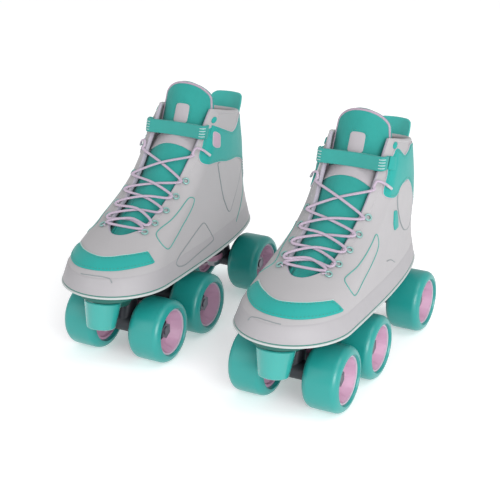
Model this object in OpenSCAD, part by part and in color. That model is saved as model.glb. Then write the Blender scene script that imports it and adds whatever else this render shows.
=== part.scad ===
// A pair of roller skates: high-top boots on plates, each with three sprung trucks and six wheels.
// Skate frame: X across (+X is the outer side of the left foot), Y from toe to heel, Z up from the floor.

/* [Wheels] */
// Wheel diameter
wheel_d = 58; // [52:1:62]
// Wheel width
wheel_w = 33.2; // [28:0.2:34]
// Distance between the two wheels' mid-planes on one axle
track = 69; // [66:0.5:74]
// Distance from the front axle to the middle axle
mid_axle = 69.7; // [66:0.1:75]
// Distance from the front axle to the rear axle
rear_axle = 184.8; // [175:0.1:200]

/* [Axles and trucks] */
// Axle diameter
axle_d = 8; // [7:1:8]
// Radial clearance of each turning or sliding fit
fit_gap = 0.05; // [0.02:0.01:0.08]
// Angle of a truck's pivot line above the floor
pivot_angle = 15; // [10:1:18]
// Distance from an axle to its kingpin, along the skate
kingpin_offset = 24; // [23:0.5:26]
// Height of the kingpin ring's centre above the floor
ring_z = 47; // [46:0.5:48]

/* [Plate and sole] */
// Height of the sole's underside above the floor
sole_z = 74.5; // [72:0.5:78]
// Thickness of the plate
plate_t = 7; // [5:0.5:8]
// Thickness of the outsole under the foot
sole_t = 6; // [5:0.5:8]
// Height of the outsole's side wall above its base
wall_h = 11.5; // [8:0.5:14]
// Thickness of the footbed
footbed_t = 4; // [3:0.5:6]

/* [Boot] */
// Wall thickness of the upper
upper_t = 3.5; // [3:0.25:4]
// Thickness of the padded tongue
tongue_t = 5; // [4:0.5:6]
// Height of the closing strap
strap_h = 12; // [10:0.5:16]
// Lace diameter
lace_d = 3.2; // [2.4:0.2:3.2]

/* [Toe stop] */
// Diameter of the toe stop at its top
stop_top_d = 33; // [30:0.5:34]
// Diameter of the toe stop at its foot
stop_foot_d = 25; // [20:0.5:30]
// Forward lean of the toe stop
stop_lean = 12; // [6:1:14]

/* [Pair] */
// Distance between the two skates' centre lines
pair_gap = 178.4; // [160:0.2:220]
// How far the right skate stands behind the left one
stagger = 13.6; // [0:0.2:30]

/* [Hidden] */
$fn = 64;
SIDES = ["left", "right"];
AXLES = ["front", "middle", "rear"];
WHEEL_SIDES = ["inner", "outer"];
BOOT_PARTS = ["upper", "tongue", "strap", "heel_tab", "laces", "lace_rings", "footbed", "outsole",
              "plate", "fasteners", "cushions", "toe_stop"];

TEAL = [0.16, 0.62, 0.57];
PALE = [0.80, 0.79, 0.80];
PINK = [0.80, 0.60, 0.70];
LILAC = [0.80, 0.70, 0.80];
DARK = [0.13, 0.16, 0.17];
STEEL = [0.70, 0.71, 0.73];

wheel_r = wheel_d / 2;
axle_r = axle_d / 2;
axle_y = [0, mid_axle, rear_axle];
// +1 where the kingpin stands behind its axle, -1 where it stands ahead of it
truck_dir = [1, 1, -1];

// ---------- The boot's outside surface ----------
// Each table gives a value at heights above the floor, with a smooth curve between them.
front_y = [[74, -57], [88, -55], [97, -45], [105, -31], [113, -11], [122, 12], [134, 38],
           [148, 59], [166, 76], [186, 92.5], [206, 101]];
heel_y = [[74, 207.5], [92, 205.5], [110, 205], [130, 204.5], [155, 202], [180, 195], [206, 189]];
half_width = [[74, 51], [92, 46.5], [110, 41.5], [130, 38], [155, 37], [180, 36], [206, 30.5]];
middle_x = [[74, 2], [92, 2.5], [110, 3.5], [140, 4.5], [206, 3]];
widest = [[74, 0.2], [120, 0.2], [165, 0.25], [206, 0.33]];
front_power = [[74, 2.0], [120, 1.7], [165, 1.8], [206, 2.0]];
heel_power = [[74, 2.9], [120, 2.8], [165, 2.55], [206, 2.4]];
// Half the width of the throat, where the tongue and laces show
throat = [[74, 15], [112, 15], [115, 15.5], [118, 18], [126, 20.5], [140, 22], [175, 26], [206, 28]];
throat_z = 115;
collar_z = 205;
// Above this height the rows slope down to a collar that is lower at the heel
dip_from = 150;
heel_dip = 0.35;

front_cells = 3;
side_cells = 15;
columns = 2 * (front_cells + side_cells);

function rise(t, i) = (t[i + 1][1] - t[i][1]) / (t[i + 1][0] - t[i][0]);
function tangent(t, i) =
    i == 0 ? rise(t, 0)
    : i == len(t) - 1 ? rise(t, i - 1)
    : rise(t, i - 1) * rise(t, i) <= 0 ? 0
    : 2 * rise(t, i - 1) * rise(t, i) / (rise(t, i - 1) + rise(t, i));
function span(t, x, i = 0) = i >= len(t) - 2 || x <= t[i + 1][0] ? i : span(t, x, i + 1);
// A smooth curve through a table's points, with no overshoot
function curve(t, x) =
    let (i = span(t, x), h = t[i + 1][0] - t[i][0], u = min(max((x - t[i][0]) / h, 0), 1))
    (1 + 2 * u) * (1 - u) ^ 2 * t[i][1] + u * (1 - u) ^ 2 * h * tangent(t, i)
    + u * u * (3 - 2 * u) * t[i + 1][1] - u * u * (1 - u) * h * tangent(t, i + 1);

function unit(v) = v / norm(v);

// A slice's point at a distance across from its middle line, on the front
function front_point(z, across) =
    let (n = curve(front_power, z), w = curve(half_width, z),
         t = curve(widest, z) * (1 - (1 - (abs(across) / w) ^ n) ^ (1 / n)),
         f = curve(front_y, z))
    [curve(middle_x, z) + across, f + (curve(heel_y, z) - f) * t, z];
// A slice's point on one side, from the throat's edge (v = 0) to the heel (v = 1)
function side_point(z, side, v) =
    let (n = curve(front_power, z), m = curve(heel_power, z), w = curve(half_width, z),
         k = curve(widest, z), g = curve(throat, z),
         edge = k * (1 - (1 - (g / w) ^ n) ^ (1 / n)),
         t = edge + (1 - edge) * (1 - cos(180 * v)) / 2,
         u = t < k ? 1 - t / k : (t - k) / (1 - k),
         p = t < k ? n : m,
         f = curve(front_y, z))
    [curve(middle_x, z) + side * w * max(1 - u ^ p, 0) ^ (1 / p), f + (curve(heel_y, z) - f) * t, z];
// Columns run from the front centre past the outer side, the heel and the inner side
function column_side(c) = c <= columns / 2 ? 1 : -1;
function column_place(c) = let (d = (c + columns) % columns) d <= columns / 2 ? d : columns - d;
function column_side_of(c) = column_side((c + columns) % columns);
function skin(z, c) =
    let (q = column_place(c), side = column_side_of(c))
    q < front_cells ? front_point(z, side * curve(throat, z) * q / front_cells)
    : side_point(z, side, (q - front_cells) / side_cells);
function skin_normal(z, c) = unit(cross(skin(z, c + 0.4) - skin(z, c - 0.4), skin(z + 0.5, c) - skin(z - 0.5, c)));
function raised(z, c, h) = skin(z, c) + h * skin_normal(z, c);
// A row's height at a column, once the collar's dip is taken off
function dipped(z, c) =
    let (v = max(column_place(c) - front_cells, 0) / side_cells)
    z <= dip_from ? z : dip_from + (z - dip_from) * (1 - heel_dip * (1 - cos(180 * v)) / 2);
// One horizontal outline, moved in by a distance
function outline(z, inset) = [
    for (c = [0 : 0.5 : columns - 0.5])
        let (d = skin(z, c + 0.2) - skin(z, c - 0.2), p = skin(z, c))
        [p[0] - inset * d[1] / norm(d), p[1] + inset * d[0] / norm(d)]
];

// ---------- Building a wall between two grids of points ----------
function pair(q) = [[q[0], q[1], q[2]], [q[0], q[2], q[3]]];
function present(mask, r, c) =
    r >= 0 && r < len(mask) && mask[r][(c + len(mask[0])) % len(mask[0])];
module wall(outside, inside, mask) {
    rows = len(outside);
    cols = len(outside[0]);
    function o(r, c) = r * cols + c % cols;
    function i(r, c) = rows * cols + o(r, c);
    quads = [
        for (r = [0 : rows - 2]) for (c = [0 : cols - 1]) if (mask[r][c]) each [
            [o(r, c), o(r + 1, c), o(r + 1, c + 1), o(r, c + 1)],
            [i(r, c), i(r, c + 1), i(r + 1, c + 1), i(r + 1, c)],
            if (!present(mask, r - 1, c)) [o(r, c), o(r, c + 1), i(r, c + 1), i(r, c)],
            if (!present(mask, r + 1, c))
                [o(r + 1, c + 1), o(r + 1, c), i(r + 1, c), i(r + 1, c + 1)],
            if (!present(mask, r, c - 1)) [o(r + 1, c), o(r, c), i(r, c), i(r + 1, c)],
            if (!present(mask, r, c + 1))
                [o(r, c + 1), o(r + 1, c + 1), i(r + 1, c + 1), i(r, c + 1)]
        ]
    ];
    polyhedron(points = concat([for (row = outside) each row], [for (row = inside) each row]),
               faces = [for (q = quads) each pair(q)], convexity = 8);
}
// A sheet has every cell except the one that would join its last column to its first
function sheet_mask(rows, cols) = [for (r = [0 : rows - 2]) [for (c = [0 : cols - 1]) c < cols - 1]];

// ---------- Boot ----------
upper_rows = [97, 101, 105, 109, 112, throat_z, 118, 122, 128, 135, 142, 150, 160, 170, 180, 188, 197, collar_z];
hem_gap = 0.4;
sole_wall_t = 3.5;
base_top = sole_z + sole_t;
wall_top = base_top + wall_h;
outline_z = sole_z + 3;

module upper() {
    rows = concat([base_top, wall_top - 1, wall_top + 0.5], upper_rows);
    // The two lowest rows tuck inside the sole's side wall
    tuck = [for (z = rows) z < wall_top ? sole_wall_t + hem_gap : 0];
    all_columns = [0 : columns - 1];
    function layer(depth) = [for (r = [0 : len(rows) - 1]) [for (c = all_columns)
        let (p = raised(dipped(rows[r], c), c, -tuck[r] - depth)) [p[0], p[1], max(p[2], base_top)]]];
    outside = layer(0);
    inside = layer(upper_t);
    mask = [for (r = [0 : len(rows) - 2]) [for (c = all_columns)
        rows[r] < throat_z || (c >= front_cells && c < columns - front_cells)]];
    color(PALE) wall(outside, inside, mask);
}

// The tongue's outer face on its middle line, as [along the skate, height, half width]
tongue_path = [[-12, 107, 20], [2, 111.5, 21.5], [14.5, 117.5, 22.5], [26, 123.5, 24], [41, 131, 25],
               [51.7, 137.8, 25.5], [64, 146.8, 26], [74, 156, 26.5], [83, 166, 26.8], [92.5, 174.5, 26.6],
               [101, 181, 26], [106, 187.5, 25], [112, 199, 24], [114.8, 206, 24.4], [116.8, 212, 24],
               [118.5, 219, 20], [119.8, 224.5, 12.5], [120.3, 227, 4]];
tongue_bow = 0.016;
tongue_x = 3.5;
module tongue() {
    n = len(tongue_path);
    across = [-1 : 0.25 : 1];
    function lean(k) =
        let (a = tongue_path[max(k - 1, 0)], b = tongue_path[min(k + 1, n - 1)])
        unit([b[1] - a[1], a[0] - b[0]]);
    function at(k, s, depth) =
        let (p = tongue_path[k], in = lean(k), dx = s * p[2], d = depth + tongue_bow * dx * dx)
        [tongue_x + dx, p[0] + in[0] * d, p[1] + in[1] * d];
    outside = [for (k = [0 : n - 1]) [for (s = across) at(k, s, 0)]];
    inside = [for (k = [0 : n - 1]) [for (s = across) at(k, s, tongue_t)]];
    color(TEAL) wall(outside, inside, sheet_mask(n, len(outside[0])));
}

// The strap's outer face in plan at its mid height, from its sewn end to its free end
strap_path = [[-29.8, 104.5], [-29.4, 101.5], [-27.8, 98.8], [-24, 97.6], [-12, 98.9], [3, 99.6],
              [18, 99.1], [30.5, 97.6], [34.4, 98.9], [36, 101.6], [36.4, 104.5]];
strap_z = 187;
strap_t = 2.5;
strap_lean = 0.3;
module strap() {
    n = len(strap_path);
    function inward(k) =
        let (d = strap_path[min(k + 1, n - 1)] - strap_path[max(k - 1, 0)]) unit([-d[1], d[0]]);
    function at(z, k, depth) =
        let (p = strap_path[k] + depth * inward(k)) [p[0], p[1] + strap_lean * z, strap_z + z];
    heights = [-strap_h / 2, 0, strap_h / 2];
    outside = [for (z = heights) [for (k = [0 : n - 1]) at(z, k, 0)]];
    inside = [for (z = heights) [for (k = [0 : n - 1]) at(z, k, strap_t)]];
    color(TEAL) wall(outside, inside, sheet_mask(3, n));
}

tab_z = [180, 186, 192, 197, 199.5];
tab_half = [17, 17.5, 17.5, 16.5, 13];
tab_y = 195.8;
tab_lean = 0.45;
tab_bow = 0.0173;
tab_t = 3;
module heel_tab() {
    function at(r, s, depth) =
        let (dx = s * tab_half[r])
        [middle_x[4][1] + dx, tab_y + depth + tab_lean * (tab_z[r] - tab_z[0]) - tab_bow * dx * dx, tab_z[r]];
    across = [1 : -0.25 : -1];
    outside = [for (r = [0 : len(tab_z) - 1]) [for (s = across) at(r, s, tab_t)]];
    inside = [for (r = [0 : len(tab_z) - 1]) [for (s = across) at(r, s, 0)]];
    color(TEAL) wall(outside, inside, sheet_mask(len(tab_z), len(outside[0])));
}

// ---------- Laces ----------
// Heights of the lace rows on the boot's surface, from the toe up
lace_rows = [116.5, 121, 128, 136.5, 147, 167];
lace_edge = 2;
edge_lift = 2.6;
over_lift = 2.1;
under_lift = -1.25;
turn = 1.6;
function front_normal(z, a) =
    unit(cross(front_point(z, a + 0.5) - front_point(z, a - 0.5), front_point(z + 0.5, a) - front_point(z - 0.5, a)));
// Straight out from the throat's middle line, with no sideways part
function throat_out(z) = let (n = front_normal(z, 0)) unit([0, n[1], n[2]]);
function lace_point(z, a, lift) = front_point(z, a) + lift * throat_out(z);
function eyelet(row, side, up) =
    let (z = lace_rows[row] + up * turn) lace_point(z, side * (curve(throat, z) + lace_edge), edge_lift);
function crossing(row, lift) = lace_point((lace_rows[row] + lace_rows[row + 1]) / 2, 0, lift);
function lace_side(row, first) = row % 2 == 0 ? first : -first;
top_row = len(lace_rows) - 1;
// One lace: down one arm of the crosses, across the lowest row and up the other arm
lace_route = concat(
    [for (r = [top_row : -1 : 0]) each [
        eyelet(r, lace_side(r, 1), 1),
        if (r > 0) eyelet(r, lace_side(r, 1), -1),
        if (r > 0) crossing(r - 1, over_lift)]],
    [for (r = [0 : top_row]) each [
        if (r > 0) crossing(r - 1, under_lift),
        if (r > 0) eyelet(r, lace_side(r, -1), -1),
        eyelet(r, lace_side(r, -1), 1)]]);

// A tube along a route, with a ring of points at each of the route's points
module tube(route, d, sides) {
    n = len(route);
    function along(k) = unit(route[min(k + 1, n - 1)] - route[max(k - 1, 0)]);
    rings = [for (k = [0 : n - 1])
        let (t = along(k), up = [0, -0.6, 0.8], u = unit(up - (up * t) * t), v = cross(t, u))
        for (j = [0 : sides - 1])
            route[k] + d / 2 * (cos(360 * j / sides) * u + sin(360 * j / sides) * v)];
    skin_faces = [for (k = [0 : n - 2]) for (j = [0 : sides - 1])
        let (a = k * sides + j, b = k * sides + (j + 1) % sides) each pair([a, a + sides, b + sides, b])];
    first = [[for (j = [0 : sides - 1]) j]];
    last = [[for (j = [sides - 1 : -1 : 0]) (n - 1) * sides + j]];
    polyhedron(points = rings, faces = concat(skin_faces, first, last), convexity = 10);
}

module laces() {
    color(LILAC) tube(lace_route, lace_d, 8);
}

ring_wire_d = 1.6;
ring_mean_r = 2.6;
ring_rows = [0 : 4];
ring_place = 5.5;
ring_lift = 1.1;
module lace_rings() {
    for (r = ring_rows) for (side = [-1, 1]) {
        z = lace_rows[r];
        a = side * (curve(throat, z) + ring_place);
        n = front_normal(z, a);
        color(STEEL) translate(front_point(z, a) + ring_lift * n)
            rotate([0, acos(n[2]), atan2(n[1], n[0])])
                rotate_extrude() translate([ring_mean_r, 0]) circle(d = ring_wire_d);
    }
}

// ---------- Sole and plate ----------
bolt_places = [[-19, -8], [19, -8], [-19, 52], [19, 52], [-17, 150], [17, 150], [-14, 188], [14, 188]];
bolt_d = 5;
bolt_gap = 0.1;
head_d = 10;
head_t = 1.5;
plate_z = sole_z - plate_t;
module at_bolts() {
    for (p = bolt_places) translate([p[0], p[1], 0]) children();
}

module outsole() {
    color(PALE) difference() {
        union() {
            translate([0, 0, sole_z]) linear_extrude(sole_t) polygon(outline(outline_z, 0));
            translate([0, 0, base_top]) linear_extrude(wall_h) difference() {
                polygon(outline(outline_z, 0));
                polygon(outline(outline_z, sole_wall_t));
            }
        }
        at_bolts() translate([0, 0, sole_z - 1]) cylinder(d = bolt_d, h = sole_t + 2);
        at_bolts() translate([0, 0, base_top - head_t - bolt_gap]) cylinder(d = head_d + 2 * bolt_gap, h = head_t + 1);
    }
}

footbed_inset = 11;
module footbed() {
    color(DARK) translate([0, 0, base_top]) linear_extrude(footbed_t) polygon(outline(outline_z, footbed_inset));
}

// Places a truck's own frame, where the kingpin stands behind the axle
module at_truck(i) {
    translate([0, axle_y[i], 0]) mirror([0, truck_dir[i] < 0 ? 1 : 0, 0]) children();
}
// The kingpin ring's centre, with Z up the kingpin and -Y along the pivot line
module at_ring() {
    translate([0, kingpin_offset, ring_z]) rotate([-pivot_angle, 0, 0]) children();
}
module pivot_cylinder(from, to, r) {
    translate([0, -from, 0]) rotate([90, 0, 0]) cylinder(r = r, h = to - from);
}

ring_r = 11.5;
ring_t = 7;
ring_hole_r = 6;
arm_r = 6;
arm_from = 10;
arm_to = 26;
pin_r = 4.5;
pin_to = 36;
boss_r = 8.5;
boss_from = 27.5;
boss_to = 38;
cushion_r = 9.5;
cushion_top = 9;
cushion_low = 7.5;
seat = ring_t / 2 + cushion_top;
kingpin_r = 4;

stop_y = -35;
stop_len = 25;
stop_stem_r = 7.9;
stop_stem_in = 12;
stop_stem_out = 6.5;
stop_top_z = plate_z - 3.9;
// The toe stop's frame: origin at its top centre, with -Z down its stem
module at_stop() {
    translate([0, stop_y, stop_top_z]) rotate([-stop_lean, 0, 0]) children();
}

module plate() {
    color(DARK) difference() {
        union() {
            translate([0, 0, plate_z]) linear_extrude(plate_t) {
                translate([0, -22]) circle(28);
                translate([-26, -22]) square([52, 125]);
                translate([-17, 100]) square([34, 45]);
                translate([-24, 140]) square([48, 36]);
                translate([0, 176]) circle(24);
            }
            for (i = [0 : 2]) at_truck(i) {
                at_ring() translate([0, 0, seat]) cylinder(r = ring_r, h = 12);
                at_ring() pivot_cylinder(boss_from, boss_to, boss_r);
                translate([-boss_r, -12, 56]) cube([2 * boss_r, 8.5, plate_z - 55]);
            }
        }
        for (i = [0 : 2]) at_truck(i) at_ring() {
            cylinder(r = kingpin_r, h = 40);
            pivot_cylinder(boss_from - 3, pin_to + 0.5, pin_r + fit_gap);
        }
        at_bolts() translate([0, 0, plate_z - 1]) cylinder(d = bolt_d, h = plate_t + 2);
        at_stop() translate([0, 0, -10]) cylinder(r = stop_stem_r + fit_gap, h = 30);
        translate([-40, -60, sole_z]) cube([80, 300, 20]);
    }
}

module hex_nut(across_flats, h, bore) {
    difference() {
        cylinder(d = across_flats / cos(30), h = h, $fn = 6);
        translate([0, 0, -1]) cylinder(r = bore, h = h + 2);
    }
}
module washer(r, h, bore) {
    difference() {
        cylinder(r = r, h = h);
        translate([0, 0, -1]) cylinder(r = bore, h = h + 2);
    }
}

kingpin_low = 20;
kingpin_top = 26.5;
retainer_t = 1.5;
kingpin_nut_t = 6;
sole_nut_t = 4;
module fasteners() {
    color(STEEL) {
        for (i = [0 : 2]) at_truck(i) at_ring() {
            low = -ring_t / 2 - cushion_low;
            translate([0, 0, -kingpin_low]) cylinder(r = kingpin_r, h = kingpin_low + kingpin_top);
            translate([0, 0, low - retainer_t]) washer(cushion_r, retainer_t, kingpin_r + fit_gap);
            translate([0, 0, low - retainer_t - kingpin_nut_t]) hex_nut(13, kingpin_nut_t - fit_gap, kingpin_r + fit_gap);
        }
        at_bolts() {
            top = base_top;
            translate([0, 0, plate_z - sole_nut_t - 1]) cylinder(d = bolt_d - bolt_gap, h = top - plate_z + sole_nut_t);
            translate([0, 0, top - head_t]) cylinder(d = head_d, h = head_t);
            translate([0, 0, plate_z - sole_nut_t]) hex_nut(8, sole_nut_t, bolt_d / 2);
        }
    }
}

module cushions() {
    for (i = [0 : 2]) color(PINK) at_truck(i) at_ring() {
        translate([0, 0, ring_t / 2]) washer(cushion_r, cushion_top, kingpin_r + bolt_gap);
        translate([0, 0, -ring_t / 2 - cushion_low]) washer(cushion_r, cushion_low, kingpin_r + bolt_gap);
    }
}

module toe_stop() {
    at_stop() {
        color(TEAL) difference() {
            translate([0, 0, -stop_len]) cylinder(d1 = stop_foot_d, d2 = stop_top_d, h = stop_len);
            translate([0, 0, -stop_stem_in]) cylinder(r = stop_stem_r, h = stop_stem_in + 1);
        }
        color(STEEL) translate([0, 0, -stop_stem_in + bolt_gap])
            cylinder(r = stop_stem_r - bolt_gap / 4, h = stop_stem_in + stop_stem_out);
    }
}

// ---------- Trucks, axles and wheels ----------
tube_r = 8.5;
tube_half = 17;
neck_r = 8;
neck_h = kingpin_offset * sin(pivot_angle) + (ring_z - wheel_r) * cos(pivot_angle);
module truck(i) {
    color(DARK) at_truck(i) difference() {
        union() {
            translate([-tube_half, 0, wheel_r]) rotate([0, 90, 0]) cylinder(r = tube_r, h = 2 * tube_half);
            translate([0, 0, wheel_r]) rotate([-pivot_angle, 0, 0]) cylinder(r = neck_r, h = neck_h);
            at_ring() {
                translate([0, 0, -ring_t / 2]) cylinder(r = ring_r, h = ring_t);
                pivot_cylinder(arm_from, arm_to, arm_r);
                pivot_cylinder(arm_to - 1, pin_to, pin_r);
            }
        }
        translate([-track, 0, wheel_r]) rotate([0, 90, 0]) cylinder(r = axle_r, h = 2 * track);
        at_ring() translate([0, 0, -10]) cylinder(r = ring_hole_r, h = 20);
    }
}

bearing_r = 11;
bearing_t = 7;
inner_bearing = -14;
outer_bearing = -5;
axle_end = 9.5;
side_gap = 0.1;
axle_nut_t = 5.5;
washer_r = 6;
// A wheel's frame: origin at its centre, with Z along the axle away from the truck
module at_wheel(i, side) {
    translate([side * track / 2, axle_y[i], wheel_r]) rotate([0, side * 90, 0]) children();
}
module axle(i) {
    bore = axle_r + fit_gap;
    half = track / 2 + axle_end;
    color(STEEL) {
        translate([-half, axle_y[i], wheel_r]) rotate([0, 90, 0]) cylinder(r = axle_r, h = 2 * half);
        for (side = [-1, 1]) at_wheel(i, side) {
            from_tube = tube_half - track / 2;
            translate([0, 0, from_tube]) washer(washer_r, inner_bearing - side_gap - from_tube, bore);
            translate([0, 0, inner_bearing + bearing_t + side_gap])
                washer(washer_r, outer_bearing - inner_bearing - bearing_t - 2 * side_gap, bore);
            translate([0, 0, outer_bearing + bearing_t + side_gap]) washer(washer_r, 1, bore);
            translate([0, 0, outer_bearing + bearing_t + side_gap + 1]) hex_nut(13, axle_nut_t, bore);
        }
    }
}

hub_r = 21.2;
rim_out = wheel_w / 2 - 4.8;
rim_in = -wheel_w / 2 + 3.6;
hub_profile = [[bearing_r, inner_bearing - 0.5], [13.5, inner_bearing - 0.5], [14, -9], [18.5, -10.5],
               [19, rim_in], [hub_r, rim_in], [hub_r, rim_out], [20, rim_out], [18.8, 9.5], [14, 4],
               [13.5, outer_bearing + bearing_t], [bearing_r, outer_bearing + bearing_t]];
module hub(i, side) {
    color(PINK) at_wheel(i, side) {
        rotate_extrude() polygon(hub_profile);
        for (from = [inner_bearing, outer_bearing]) translate([0, 0, from])
            washer(bearing_r - 0.02, bearing_t, axle_r + fit_gap);
    }
}

tread_round = 6.7;
module tyre(i, side) {
    color(TEAL) at_wheel(i, side) rotate_extrude() intersection() {
        translate([hub_r, -wheel_w / 2]) square([wheel_r - hub_r, wheel_w]);
        union() {
            translate([hub_r, -wheel_w / 2]) square([wheel_r - tread_round - hub_r, wheel_w]);
            translate([hub_r, tread_round - wheel_w / 2]) square([wheel_r - hub_r, wheel_w - 2 * tread_round]);
            for (s = [-1, 1]) translate([wheel_r - tread_round, s * (wheel_w / 2 - tread_round)])
                circle(tread_round);
        }
    }
}

// ---------- The pair ----------
toe_y = curve(front_y, outline_z);
heel_end = rear_axle + wheel_r;
// Puts one skate in its place, so that the pair's box is centred on the origin
module skate(side) {
    left = side == "left";
    translate([(left ? 1 : -1) * pair_gap / 2, (left ? -1 : 1) * stagger / 2 - (toe_y + heel_end) / 2, 0])
        mirror([left ? 0 : 1, 0, 0]) children();
}

for (s = SIDES) {
    skate(s) upper();
    skate(s) tongue();
    skate(s) strap();
    skate(s) heel_tab();
    skate(s) laces();
    skate(s) lace_rings();
    skate(s) footbed();
    skate(s) outsole();
    skate(s) plate();
    skate(s) fasteners();
    skate(s) cushions();
    skate(s) toe_stop();
    for (i = [0 : 2]) {
        place = str(s, "_", AXLES[i]);
        skate(s) truck(i);
        skate(s) axle(i);
        for (w = [0, 1]) {
            wheel = str(place, "_", WHEEL_SIDES[w]);
            skate(s) tyre(i, 2 * w - 1);
            skate(s) hub(i, 2 * w - 1);
        }
    }
}
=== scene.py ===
"""Looks of a pair of roller skates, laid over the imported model.

Shapes are worked out in millimetres in one skate's own frame, the left one's: X across with +X on the
outer side, Y from toe to heel, Z up from the floor. make() puts each on both skates, in metres.
"""

import math

import bmesh
import bpy
import numpy as np
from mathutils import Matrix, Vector
from mathutils.geometry import delaunay_2d_cdt


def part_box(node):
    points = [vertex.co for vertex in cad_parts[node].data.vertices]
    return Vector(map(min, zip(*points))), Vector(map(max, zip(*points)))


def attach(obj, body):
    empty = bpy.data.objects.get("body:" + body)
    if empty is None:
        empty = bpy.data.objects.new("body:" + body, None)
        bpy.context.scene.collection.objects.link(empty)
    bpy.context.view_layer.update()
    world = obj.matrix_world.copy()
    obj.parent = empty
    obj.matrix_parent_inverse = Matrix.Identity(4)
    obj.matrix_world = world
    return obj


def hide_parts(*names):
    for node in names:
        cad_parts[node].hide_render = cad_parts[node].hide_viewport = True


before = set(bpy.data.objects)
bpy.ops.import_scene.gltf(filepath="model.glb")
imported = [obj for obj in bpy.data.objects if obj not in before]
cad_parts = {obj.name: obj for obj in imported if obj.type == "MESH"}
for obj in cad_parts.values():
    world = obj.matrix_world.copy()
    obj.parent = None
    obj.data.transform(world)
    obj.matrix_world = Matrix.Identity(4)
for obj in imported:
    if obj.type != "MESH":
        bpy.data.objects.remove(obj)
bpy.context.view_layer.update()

MM = 0.001
MIRROR = {"left": 1, "right": -1}
AXLES = ["front", "middle", "rear"]
WHEEL_SIDES = {"inner": -1, "outer": 1}


def middle(node):
    low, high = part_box(node)
    return (low + high) / 2


ORIGIN = {side: middle(f"{side}_front_axle") * Vector((1, 1, 0)) for side in MIRROR}


def local(point):
    """A point of the left skate, in its own millimetres."""
    return np.array((point - ORIGIN["left"]) / MM)


# ---------- Camera, floor and light ----------
CAMERA_FROM_AXLE = Vector((0.410, -0.8588, 0.5053 - middle("left_front_axle").z))
CAMERA_AZIMUTH = 27.79
CAMERA_PITCH = 21.21
LENS = 89.97
LIGHT_AIM = Vector((0, 0, 0.09))
FLOOR_HALF = 8


def linked(name, data):
    """A new object, put into the scene."""
    made = bpy.data.objects.new(name, data)
    bpy.context.collection.objects.link(made)
    return made


def make_camera():
    camera = linked("camera", bpy.data.cameras.new("camera"))
    camera.data.lens = LENS
    camera.location = middle("left_front_axle") + CAMERA_FROM_AXLE
    camera.rotation_euler = (math.radians(90 - CAMERA_PITCH), 0, math.radians(CAMERA_AZIMUTH))
    bpy.context.scene.camera = camera


def aimed_light(name, place, size, power):
    light = linked(name, bpy.data.lights.new(name, "AREA"))
    light.data.size = size
    light.data.energy = power
    light.location = place
    light.rotation_euler = (LIGHT_AIM - Vector(place)).to_track_quat("-Z", "Y").to_euler()


def make_floor():
    mesh = bpy.data.meshes.new("floor")
    corners = [(x * FLOOR_HALF, y * FLOOR_HALF, 0) for x, y in ((-1, -1), (1, -1), (1, 1), (-1, 1))]
    mesh.from_pydata(corners, [], [(0, 1, 2, 3)])
    paint = bpy.data.materials.new("floor_paper")
    paint.use_nodes = True
    inputs = paint.node_tree.nodes["Principled BSDF"].inputs
    inputs["Base Color"].default_value = (0.92, 0.92, 0.93, 1)
    inputs["Roughness"].default_value = 0.9
    inputs["Specular IOR Level"].default_value = 0.1
    inputs["Emission Color"].default_value = (1, 1, 1, 1)
    inputs["Emission Strength"].default_value = 0.32
    mesh.materials.append(paint)
    floor = linked("floor", mesh)


def make_light():
    world = bpy.data.worlds.new("studio")
    bpy.context.scene.world = world
    world.use_nodes = True
    sky = world.node_tree.nodes["Background"]
    sky.inputs["Color"].default_value = (1, 1, 1, 1)
    sky.inputs["Strength"].default_value = 0.68
    aimed_light("key", (1.5, -1.4, 0.7), 1.1, 30)
    aimed_light("side", (1.25, -0.2, 1.8), 1.1, 8)
    aimed_light("fill", (-1.2, -1.6, 0.8), 1.4, 6)
    bpy.context.scene.view_settings.view_transform = "Standard"


# ---------- The boot's outside surface, as the model has it ----------
# Each table gives a value at heights above the floor, with a smooth curve between them.
FRONT_Y = [
    [74, -57], [88, -55], [97, -45], [105, -31], [113, -11], [122, 12], [134, 38], [148, 59], [166, 76],
    [186, 92.5], [206, 101],
]
HEEL_Y = [[74, 207.5], [92, 205.5], [110, 205], [130, 204.5], [155, 202], [180, 195], [206, 189]]
HALF_WIDTH = [[74, 51], [92, 46.5], [110, 41.5], [130, 38], [155, 37], [180, 36], [206, 30.5]]
MIDDLE_X = [[74, 2], [92, 2.5], [110, 3.5], [140, 4.5], [206, 3]]
WIDEST = [[74, 0.2], [120, 0.2], [165, 0.25], [206, 0.33]]
FRONT_POWER = [[74, 2.0], [120, 1.7], [165, 1.8], [206, 2.0]]
HEEL_POWER = [[74, 2.9], [120, 2.8], [165, 2.55], [206, 2.4]]
THROAT = [[74, 15], [112, 15], [115, 15.5], [118, 18], [126, 20.5], [140, 22], [175, 26], [206, 28]]
THROAT_Z = 115
THROAT_CORNER = 3.5
COLLAR_Z = 205
DIP_FROM = 150
HEEL_DIP = 0.35
FRONT_CELLS = 3
SIDE_CELLS = 15
HALF_TURN = FRONT_CELLS + SIDE_CELLS
UPPER_T = 3.5
UPPER_FOOT = 90.5
SOLE_Z = 74.5
SOLE_T = 6
WALL_TOP = 92
WALL_PROUD = 0.15
BOOT_SCALE = (14, 1)


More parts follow.
